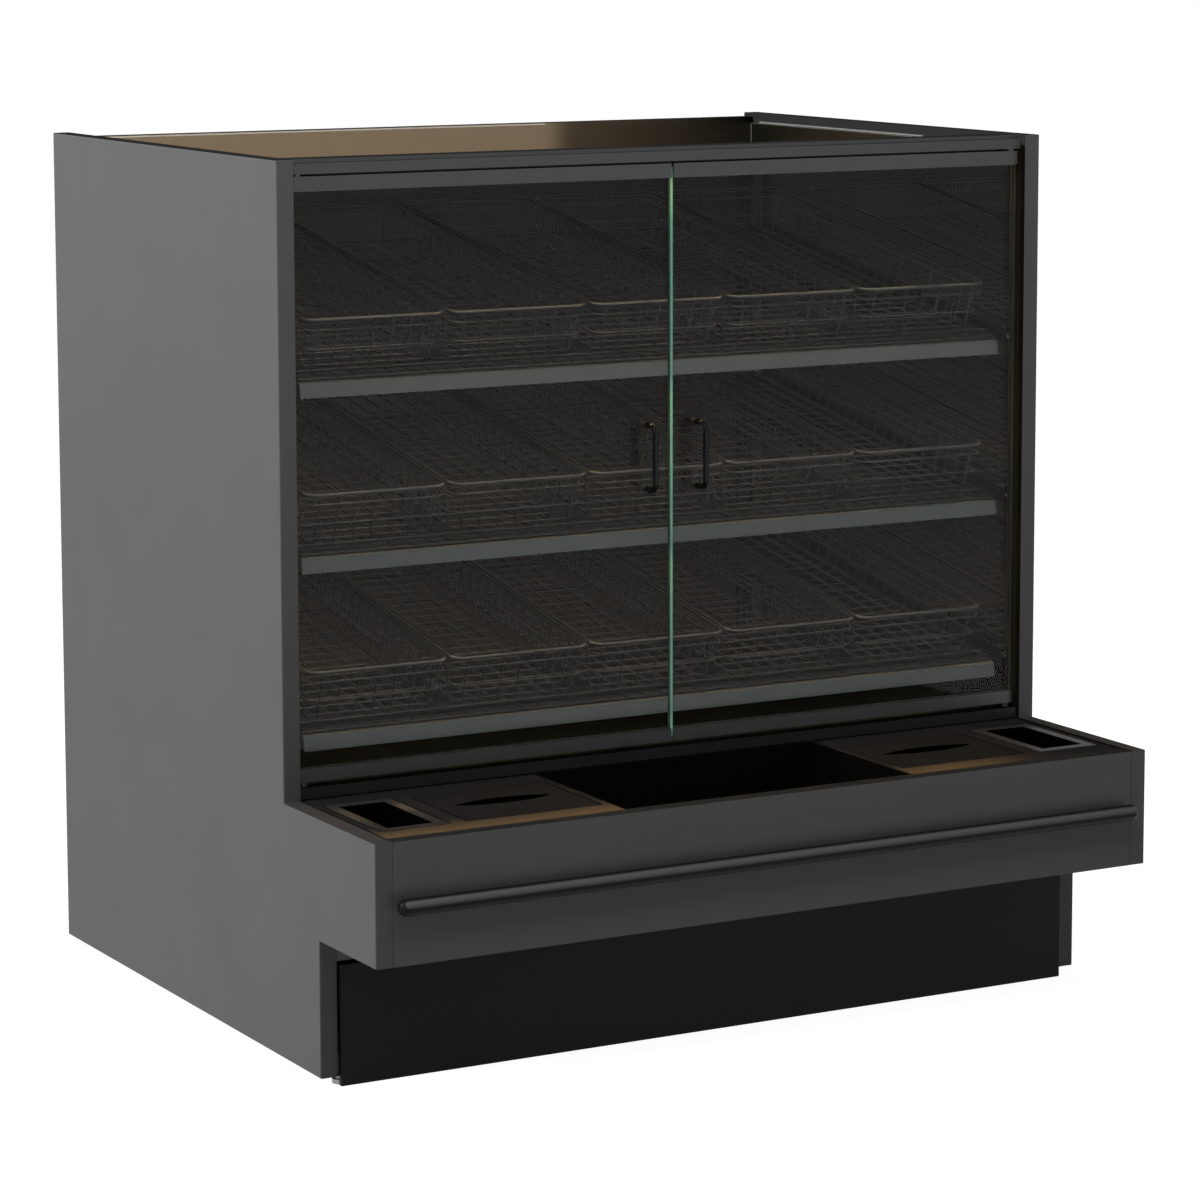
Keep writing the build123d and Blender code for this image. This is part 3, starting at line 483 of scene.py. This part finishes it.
# Painted shade: the front board's upward faces are black.
ledge_finish.cover(ledge_finish.facing(2) > 0.3, mottled(ledge_finish, ledge_top_painted_shade))
dress(ledge_finish, "ledge_front_panel", "ledge_underside")
ease(board_arris, "ledge_front_panel")
groove = 0.0021
end_groove = 0.0045
deck_black = (0.0125, 0.0128, 0.0135)
warm_painted_reflection = (0.075, 0.054, 0.031)
warm_depth = 0.075
warm_fade = (0.33, 0.46)
deck_front_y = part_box("ledge_deck")[0].y
deck_finish = laminate("deck_laminate", deck_black, 0.5, gloss=0.0)
deck_x = deck_finish.along(0)
deck_y = deck_finish.along(1)
deck_side = deck_finish.node("ShaderNodeMath", {"operation": "ABSOLUTE"}, {0: deck_x})
# Painted reflection: a warm brown glow along the deck's front edge, fading out towards the right.
warm = deck_finish.blend(deck_y, deck_front_y, deck_front_y + warm_depth, 1.0, 0.0)
warm = warm * deck_finish.blend(deck_x, *warm_fade, 1.0, 0.0)
deck_finish.set("Base Color", deck_finish.mix(warm, deck_finish.shade(), warm_painted_reflection))
deck_finish.cover(deck_finish.facing(2) < upright, joint_and_shade_black)
for name in ("right_slot_lid", "right_bin"):
    low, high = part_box(name)
    near_groove = (deck_side > low.x - groove) * (deck_side < low.x)
    far_groove = (deck_side > high.x) * (deck_side < high.x + groove)
    beside = (near_groove + far_groove) * (deck_y > low.y) * (deck_y < high.y)
    deck_finish.cover(beside, joint_and_shade_black)
deck_finish.cover(deck_x > inner_x - end_groove, joint_and_shade_black)
dress(deck_finish, "ledge_deck")
ease(board_arris, "ledge_deck")

# Bag well, bins and slotted lids: the well is an open tray of coated sheet that stands on the
# ledge's underside, painted near black as painted shade. The moulded bins hang from their rims, and
# the lids lie flush in rebates; the bins' insides and the lids' slot walls are painted black as painted
# shade.
insert_arris = 0.0005
bin_rim_t = 0.003
bin_black = (0.013, 0.0132, 0.0138)
lid_black = (0.0105, 0.0106, 0.011)
well_painted_shade = (0.002, 0.002, 0.002)
bin_finish = laminate("bin_plastic", bin_black, 0.45, gloss=0.04)
bin_rim_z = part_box("right_bin")[1].z - bin_rim_t
# Painted shade: the bins' insides are black.
bin_inside = (bin_finish.facing(2) < 0.4) + (bin_finish.along(2) < bin_rim_z) > 0.5
bin_finish.cover(bin_inside, joint_and_shade_black, 0.6)
dress(bin_finish, "left_bin", "right_bin")
lid_finish = laminate("lid_laminate", lid_black, 0.5, gloss=0.0)
# Painted shade: the lids' slot walls and sides are black.
lid_finish.cover(lid_finish.facing(2) < 0.4, joint_and_shade_black)
dress(lid_finish, "left_slot_lid", "right_slot_lid")
# Painted shade: the well's coat is near black.
well_coat = powder_coat("well_coat", well_painted_shade, 0.6)
well_coat.set("Specular IOR Level", 0.02)
dress(well_coat, "bag_well")
ease(insert_arris, "left_bin", "right_bin", "left_slot_lid", "right_slot_lid", "bag_well")

# Bumper: a round bar of black plastic with domed ends and a painted highlight along its upper front.
# It stands off the ledge's front board on four turned and coated stand-offs.
standoff_black = (0.017, 0.017, 0.018)
painted_highlight_grey = (0.10, 0.10, 0.103)
highlight_up = 0.5
highlight_front = 0.866
bumper_low, bumper_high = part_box("bumper_bar")
bumper_r = (bumper_high.z - bumper_low.z) / 2
bumper_centre = (bumper_low + bumper_high) / 2
bumper_finish = Finish("bumper_black", Specular_IOR_Level=0.08)
bumper_scuff = bumper_finish.noise(60.0, 4.0, (0.15, 1, 1))
# Painted highlight: lighter where the bar's surface faces up and to the front.
bumper_highlight = bumper_finish.facing(2) * highlight_up - bumper_finish.facing(1) * highlight_front
bumper_highlight = bumper_finish.blend(bumper_highlight, 0.82, 1.0)
bumper_base = bumper_finish.mix(bumper_scuff, (0.005, 0.005, 0.0053), (0.008, 0.008, 0.0085))
bumper_finish.set("Base Color", bumper_finish.mix(bumper_highlight, bumper_base, painted_highlight_grey))
bumper_finish.set("Roughness", 0.32 + bumper_scuff * 0.1)


def add_piece(name, work, body, finish, smooth=True):
    """Turn a bmesh into a piece that rides on a body with its finish."""
    mesh = bpy.data.meshes.new(name)
    for face in work.faces:
        face.smooth = smooth
    work.to_mesh(mesh)
    work.free()
    made = bpy.data.objects.new(name, mesh)
    bpy.context.scene.collection.objects.link(made)
    mesh.materials.append(finish.material)
    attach(made, body)
    return made


def turned(profile, steps=48):
    """Solid of revolution about Z from (radius, height) pairs that start and end on the axis."""
    work = bmesh.new()
    rim = [work.verts.new((radius, 0, height)) for radius, height in profile]
    edges = [work.edges.new(pair) for pair in zip(rim, rim[1:])]
    bmesh.ops.spin(work, geom=rim + edges, cent=(0, 0, 0), axis=(0, 0, 1), angle=2 * pi,
                   steps=steps, use_merge=True)
    bmesh.ops.remove_doubles(work, verts=work.verts, dist=0.000001)
    bmesh.ops.recalc_face_normals(work, faces=work.faces)
    return work


half_bar = (bumper_high.x - bumper_low.x) / 2
dome_steps = 8
dome = [(bumper_r * sin(pi / 2 * step / dome_steps), bumper_r * cos(pi / 2 * step / dome_steps))
        for step in range(dome_steps + 1)]
bar_profile = [(radius, half_bar - bumper_r + height) for radius, height in dome]
bar_profile += [(radius, bumper_r - half_bar - height) for radius, height in reversed(dome)]
bar = turned(bar_profile)
bar_place = Matrix.Translation(bumper_centre) @ Matrix.Rotation(pi / 2, 4, "Y")
bmesh.ops.transform(bar, matrix=bar_place, verts=bar.verts)
bumper_piece = add_piece("bumper_round_bar", bar, "case", bumper_finish)
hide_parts("bumper_bar")
dress(powder_coat("standoff_coat", standoff_black, 0.4), "bumper_standoffs")

# Standards and brackets: slotted steel channels fixed to the rear panel and flat steel plates
# that hook into their slots and slope down to the front, all in black powder coat.
shelf_black = (0.008, 0.008, 0.008)
shelf_coat = powder_coat("shelf_coat", shelf_black, 0.45)
shelf_coat.set("Specular IOR Level", 0.15)
dress(shelf_coat, "shelf_standards", "shelf_brackets")
ease(0.0004, "shelf_brackets")

# Racks: welded black wire that lies on the brackets' slope, with long wires over a few
# cross rods and a raised rod along the front.
shelf_slope = radians(10)
rack_black = (0.004, 0.004, 0.004)
rack_coat = powder_coat("rack_coat", rack_black, 0.35)
rack_coat.set("Specular IOR Level", 0.16)
nearly_straight = -0.999
arc_pull = 0.45


class WireWork:
    """Bent wires gathered in one curve, which becomes one mesh."""

    def __init__(self, name, thinnest, sides=1):
        self.curve = bpy.data.curves.new(name, "CURVE")
        self.curve.dimensions = "3D"
        self.curve.bevel_depth = thinnest / 2
        self.curve.bevel_resolution = sides
        self.curve.use_fill_caps = True
        self.thinnest = thinnest

    def bend(self, corners, gauge, radius=0.0, closed=False, steps=3):
        """One wire through corners, each rounded by an arc of the given radius."""
        stops = [Vector(corner) for corner in corners]
        knots = []
        for index, corner in enumerate(stops):
            free_end = not closed and index in (0, len(stops) - 1)
            if free_end or radius == 0:
                knots.append((corner, corner, corner))
                continue
            back = (stops[index - 1] - corner).normalized()
            ahead = (stops[(index + 1) % len(stops)] - corner).normalized()
            opening = back.dot(ahead)
            reach = 0
            if opening > nearly_straight:
                reach = radius / sqrt((1 - opening) / (1 + opening))
            pull = reach * arc_pull
            knots.append((corner + back * reach, corner + back * reach, corner + back * pull))
            knots.append((corner + ahead * reach, corner + ahead * pull, corner + ahead * reach))
        spline = self.curve.splines.new("BEZIER")
        spline.bezier_points.add(len(knots) - 1)
        spline.resolution_u = steps
        spline.use_cyclic_u = closed
        for point, (place, before, after) in zip(spline.bezier_points, knots):
            point.handle_left_type = "FREE"
            point.handle_right_type = "FREE"
            point.co = place
            point.handle_left = before
            point.handle_right = after
            point.radius = gauge / self.thinnest

    def mesh(self, place=Matrix.Identity(4)):
        """The wires as a mesh, set in place."""
        holder = bpy.data.objects.new(self.curve.name, self.curve)
        made = bpy.data.meshes.new_from_object(holder)
        made.transform(place)
        bpy.data.objects.remove(holder)
        return made


def add_wires(name, mesh, body, finish):
    """Make a piece of a wire mesh."""
    work = bmesh.new()
    work.from_mesh(mesh)
    return add_piece(name, work, body, finish)


rack_t = 0.004
rack_wire = 0.0026
wire_level = 0.0028
wire_inset = 0.002
rack_rod = 0.004
rack_front_rod = 0.005
rack_front = 0.026
rack_front_level = 0.0065
rack_end = 0.003
rack_pitch = 0.0275
rack_rods = 7
shelves = ("top", "middle", "bottom")
for key in shelves:
    low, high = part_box(f"shelf_rack_{key}")
    half = (high.x - low.x) / 2
    length = (high.y - low.y - rack_t * sin(shelf_slope)) / cos(shelf_slope)
    corner = Vector((0, low.y + rack_t * sin(shelf_slope), low.z))
    seat = Matrix.Translation(corner) @ Matrix.Rotation(shelf_slope, 4, "X")
    wires = WireWork(f"rack_wires_{key}", rack_wire)
    count = int(2 * half / rack_pitch)
    for index in range(count + 1):
        x = (index - count / 2) * rack_pitch
        wires.bend([(x, wire_inset, wire_level), (x, length - wire_inset, wire_level)], rack_wire)
    for index in range(rack_rods):
        y = rack_rod / 2 + (length - rack_rod) * index / (rack_rods - 1)
        wires.bend([(-half, y, rack_rod / 2), (half, y, rack_rod / 2)], rack_rod)
    wires.bend([(rack_end - half, rack_front, rack_front_level),
                (half - rack_end, rack_front, rack_front_level)], rack_front_rod)
    for side in (-1, 1):
        x = side * (half - rack_rod / 2)
        wires.bend([(x, rack_rod / 2, rack_rod / 2), (x, length - rack_rod / 2, rack_rod / 2)], rack_rod)
    rack = add_wires(f"wire_rack_{key}", wires.mesh(seat), "case", rack_coat)
    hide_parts(f"shelf_rack_{key}")

# Front strips: grey-green extruded plastic, finely streaked along its length, that hooks
# under each rack's front edge. Its upward faces are painted black as painted shade.
strip_top_painted_shade = (0.006, 0.006, 0.006)
strip_finish = Finish("strip_plastic", Specular_IOR_Level=0.2)
strip_streak = strip_finish.noise(40.0, 3.0, (0.05, 1, 1))
strip_finish.set("Base Color", strip_finish.mix(strip_streak, (0.066, 0.071, 0.071), (0.071, 0.077, 0.078)))
strip_finish.set("Roughness", 0.3 + strip_streak * 0.1)
# Painted shade: the strip's upward faces are black.
strip_up = strip_finish.facing(2) > 0.6
strip_finish.set("Base Color", strip_finish.mix(strip_up, strip_finish.shade(), strip_top_painted_shade))
dress(strip_finish, *(f"shelf_strip_{key}" for key in shelves))

# Lamps: black anodised aluminium channels under the header and under each rack, closed below
# by opal diffusers that give a warm light.
lamp_warm = (1.0, 0.66, 0.34)
lamp_strength = 26.0
housing_finish = Finish("lamp_channel", Metallic=1.0)
brushed = housing_finish.noise(300.0, 3.0, (0.02, 1, 1))
housing_finish.set("Base Color", housing_finish.mix(brushed, (0.03, 0.03, 0.031), (0.045, 0.045, 0.046)))
housing_finish.set("Roughness", 0.3 + brushed * 0.15)
dress(housing_finish, "light_housings")
diffuser = Finish("lamp_diffuser", Roughness=0.5, Emission_Strength=lamp_strength)
diffuser.set("Base Color", diffuser.mix(diffuser.noise(60.0), (0.72, 0.70, 0.66), (0.80, 0.78, 0.74)))
glow = diffuser.mix(diffuser.noise(90.0), lamp_warm, toned(lamp_warm, 0.85))
diffuser.set("Emission Color", diffuser.mix(diffuser.facing(2) < -0.5, (0.0, 0.0, 0.0), glow))
dress(diffuser, "light_diffusers")

# Services: a grey moulded lamp driver in the base, a duct of darker plastic in the display's
# right rear corner, and a black rocker switch in the rear panel.
grey_moulded = Finish("grey_moulded", Specular_IOR_Level=0.2)
grey_grain = grey_moulded.noise(900.0, 2.0)
grey_drift = grey_moulded.noise(15.0, 3.0)
grey_moulded.set("Base Color", grey_moulded.mix(grey_drift, (0.17, 0.17, 0.18), (0.21, 0.21, 0.22)))
grey_moulded.set("Roughness", 0.4 + grey_grain * 0.15)
dress(grey_moulded, "light_driver")
ease(0.0008, "light_driver")
duct_grey = (0.05, 0.05, 0.052)
duct_finish = Finish("dark_grey_moulded", Roughness=0.6, Specular_IOR_Level=0.1)
duct_finish.set("Base Color", mottled(duct_finish, duct_grey))
dress(duct_finish, "wiring_duct")
moulded = Finish("moulded_black", Specular_IOR_Level=0.15)
moulded_grain = moulded.noise(1800.0, 2.0)
moulded_drift = moulded.noise(12.0, 3.0)
moulded.set("Base Color", moulded.mix(moulded_drift, (0.008, 0.008, 0.0085), (0.012, 0.012, 0.0125)))
moulded.set("Roughness", 0.33 + moulded_grain * 0.12)
moulded.bump(moulded_grain, 0.3, 0.0002)
dress(moulded, "light_switch_housing", "light_switch_rocker")
ease(0.0004, "light_switch_housing", "light_switch_rocker")

# Hardware: turned leveling feet in the ends of the base frame's low tubes, the inlet plate
# with its cord gland, and the rear panel's screws, all zinc-plated steel.
zinc = Finish("zinc_plate", Metallic=1.0)
spangle = zinc.noise(220.0, 3.0)
zinc.set("Base Color", zinc.mix(spangle, (0.22, 0.22, 0.22), (0.32, 0.32, 0.32)))
zinc.set("Roughness", 0.28 + spangle * 0.18)
dress(zinc, "leveling_feet", "power_inlet", "panel_screws")
ease(0.0003, "power_inlet", "panel_screws")

# Doors: 8 mm clear tempered glass with polished edges, green and lit by a painted highlight where seen
# from the front and painted dark as shade from behind, clamped above and below by slim coated rails
# that turn on steel pins and washers at their outer ends. The rails' upward faces are painted black as
# painted shade.
glass_low, glass_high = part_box("left_door_glass")
glass_t = glass_high.y - glass_low.y
clear_shadow = (0.9, 0.92, 0.91)
rail_grey = (0.045, 0.045, 0.046)
rail_top_painted_shade = (0.006, 0.006, 0.006)
rail_arris = 0.0005
door_glass = Finish("door_glass", Roughness=0.0, IOR=1.17, Transmission_Weight=1.0)
ripple = door_glass.noise(4.0, 2.0)
door_glass.set("Base Color", door_glass.mix(ripple, (0.945, 0.985, 0.98), (0.965, 1.0, 0.995)))
edge_across = door_glass.facing(0)
edge_up = door_glass.facing(2)
outer_side = 1 - door_glass.node("ShaderNodeNewGeometry", output=6)
# Painted highlight: polished edges are bright green seen from the front and painted dark as shade seen from
# behind.
polished_edge = (edge_across * edge_across + edge_up * edge_up) > 0.5
edge_green_and_highlight = door_glass.mix(outer_side, (0.015, 0.022, 0.02), (0.28, 0.60, 0.54))
green_edge_and_highlight = door_glass.node("ShaderNodeBsdfPrincipled", None, {"Roughness": 0.3, "Base Color": edge_green_and_highlight})
faced = door_glass.node("ShaderNodeMixShader", None, {
    0: polished_edge, 1: Field(door_glass, door_glass.shader.outputs[0]), 2: green_edge_and_highlight})
shadow_ray = Field(door_glass, door_glass.node("ShaderNodeLightPath").socket.node.outputs["Is Shadow Ray"])
clear = door_glass.node("ShaderNodeBsdfTransparent", None, {0: clear_shadow})
surface = door_glass.node("ShaderNodeMixShader", None, {0: shadow_ray, 1: faced, 2: clear})
door_glass.tree.links.new(surface.socket, door_glass.output.inputs[0])
dress(door_glass, "left_door_glass", "right_door_glass")
pivot_steel = Finish("pivot_steel", Metallic=1.0)
pivot_grain = pivot_steel.noise(260.0, 3.0)
pivot_steel.set("Base Color", pivot_steel.mix(pivot_grain, (0.05, 0.05, 0.05), (0.09, 0.09, 0.09)))
pivot_steel.set("Roughness", 0.3 + pivot_grain * 0.15)
dress(pivot_steel, "door_pivots")
rail_finish = powder_coat("rail_coat", rail_grey, 0.34)
# Painted shade: the rails' upward faces are black.
paint_top_shade(rail_finish, rail_top_painted_shade)
dress(rail_finish, "left_door_rails", "right_door_rails")
ease(rail_arris, "left_door_rails", "right_door_rails")

# Door pulls: 8 mm coated steel wire bent to a U, black with a painted cool highlight line down
# its front. Each is held by two screws through the glass.
pull_gauge = 0.008
pull_bend = 0.011
pull_reach = 0.0445
pull_highlight_colour = (0.034, 0.038, 0.048)
screw_head_r = 0.0045
screw_head_h = 0.003
screw_crown_r = 0.0036
screw_crown_z = 0.0018
pull_finish = Finish("pull_black", Specular_IOR_Level=0.06)
pull_wear = pull_finish.noise(80.0, 3.0)
# Painted highlight: a cool line where the wire faces front and a little left.
pull_highlight = pull_finish.facing(0) * -0.2 - pull_finish.facing(1) * 0.98
pull_highlight = pull_finish.blend(pull_highlight, 0.93, 0.995)
pull_base = pull_finish.mix(pull_wear, (0.003, 0.003, 0.003), (0.006, 0.006, 0.006))
pull_finish.set("Base Color", pull_finish.mix(pull_highlight, pull_base, pull_highlight_colour))
pull_finish.set("Roughness", 0.1 + pull_wear * 0.1)
for side in ("left", "right"):
    low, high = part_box(f"{side}_door_pull")
    x = (low.x + high.x) / 2
    middle = (low.z + high.z) / 2
    upper_z = middle + pull_reach
    lower_z = middle - pull_reach
    front = low.y + pull_gauge / 2
    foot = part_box(f"{side}_door_glass")[0].y
    pull = WireWork(f"{side}_pull_wire", pull_gauge, 4)
    pull.bend([(x, foot, upper_z), (x, front, upper_z), (x, front, lower_z), (x, foot, lower_z)],
              pull_gauge, pull_bend, steps=8)
    piece = add_wires(f"{side}_wire_pull", pull.mesh(), f"{side}_door", pull_finish)
    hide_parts(f"{side}_door_pull")
    for level in (-1, 1):
        head = turned([(0, 0), (screw_head_r, 0), (screw_head_r, screw_crown_z),
                       (screw_crown_r, screw_head_h), (0, screw_head_h)], 24)
        spot = Vector((x, foot + glass_t, middle + level * pull_reach))
        screw_place = Matrix.Translation(spot) @ Matrix.Rotation(-pi / 2, 4, "X")
        bmesh.ops.transform(head, matrix=screw_place, verts=head.verts)
        add_piece(f"{side}_pull_screw_{level + 2}", head, f"{side}_door", pivot_steel)

# Baskets: welded black wire with a thick rim, two thin bands round the walls, and bent wires
# that run down one wall, across the floor and up the other. They stand loose on the racks.
wire_black = (0.006, 0.006, 0.006)
wire_coat = powder_coat("wire_coat", wire_black, 0.3)
wire_coat.set("Specular IOR Level", 0.4)
baskets_on_a_rack = 5
basket_draft = 0.010
basket_height = 0.075
basket_length = 0.605
rim_gauge = 0.0055
net_gauge = 0.0024
net_pitch = 0.0275
rim_corner = 0.018
band_corner = 0.016
band_heights = (0.0585, 0.031)
lengthwise = 7
crosswise = 21
wire_bend = 0.006


def basket_wires(half_width):
    """One basket in its own frame: front bottom edge on X, length along Y."""
    wires = WireWork("basket_wires", net_gauge)

    def loop(height, gauge, radius):
        inset = basket_draft * (1 - height / basket_height) + gauge / 2
        x = half_width - inset
        wires.bend([(-x, inset, height), (x, inset, height), (x, basket_length - inset, height),
                    (-x, basket_length - inset, height)], gauge, radius, closed=True, steps=4)

    loop(basket_height - rim_gauge / 2, rim_gauge, rim_corner)
    for height in band_heights:
        loop(height, net_gauge, band_corner)
    top = basket_height - rim_gauge / 2
    under = net_gauge / 2
    inner = net_gauge * 1.5
    for index in range(lengthwise):
        x = (index - (lengthwise - 1) / 2) * net_pitch
        wires.bend([(x, inner, top), (x, basket_draft + inner, under),
                    (x, basket_length - basket_draft - inner, under), (x, basket_length - inner, top)],
                   net_gauge, wire_bend)
    for index in range(crosswise):
        y = basket_length / 2 + (index - (crosswise - 1) / 2) * net_pitch
        side = half_width - inner
        foot = side - basket_draft
        wires.bend([(-side, y, top), (-foot, y, under + net_gauge), (foot, y, under + net_gauge),
                    (side, y, top)], net_gauge, wire_bend)
    return wires


for key in shelves:
    for index in range(1, baskets_on_a_rack + 1):
        name = f"basket_{key}_{index}"
        low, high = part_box(name)
        origin = Vector(((low.x + high.x) / 2, low.y + basket_height * sin(shelf_slope),
                         low.z - basket_draft * sin(shelf_slope)))
        seat = Matrix.Translation(origin) @ Matrix.Rotation(shelf_slope, 4, "X")
        wires = basket_wires((high.x - low.x) / 2)
        basket = add_wires(f"wire_{name}", wires.mesh(seat), f"{name}_body", wire_coat)
        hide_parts(name)
